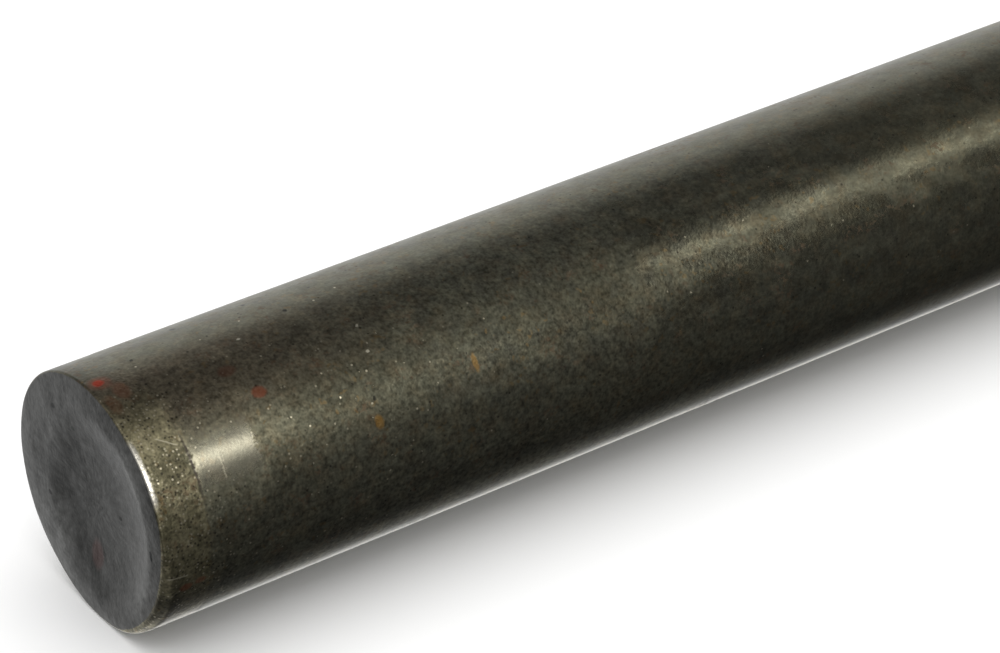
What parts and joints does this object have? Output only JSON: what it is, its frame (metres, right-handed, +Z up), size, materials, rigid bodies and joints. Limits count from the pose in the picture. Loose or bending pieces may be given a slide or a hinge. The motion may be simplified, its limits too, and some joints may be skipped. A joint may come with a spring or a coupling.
{
  "type": "round metal bar",
  "caption": "Solid round steel bar stock, one end cropped in a shear to a shallow dish with a drawn-down rim, the other sawn square; cut, turned or clamped as raw material.",
  "frame": {"origin": "on the level floor that the bar lies on, under the middle of its length", "axes": "+X along the bar towards the cropped, dished end; -X towards the sawn end; +Z up; Y level, across the bar"},
  "size_m": [0.3, 0.02, 0.02],
  "materials": {
    "bar_steel": "as-rolled, dark olive grey and lightly oiled, semi-gloss with fine pits and faint rust freckles; dull grey on the cut ends"
  },
  "bodies": {
    "root": {"round_bar": "bar_steel"}
  },
  "joints": []
}
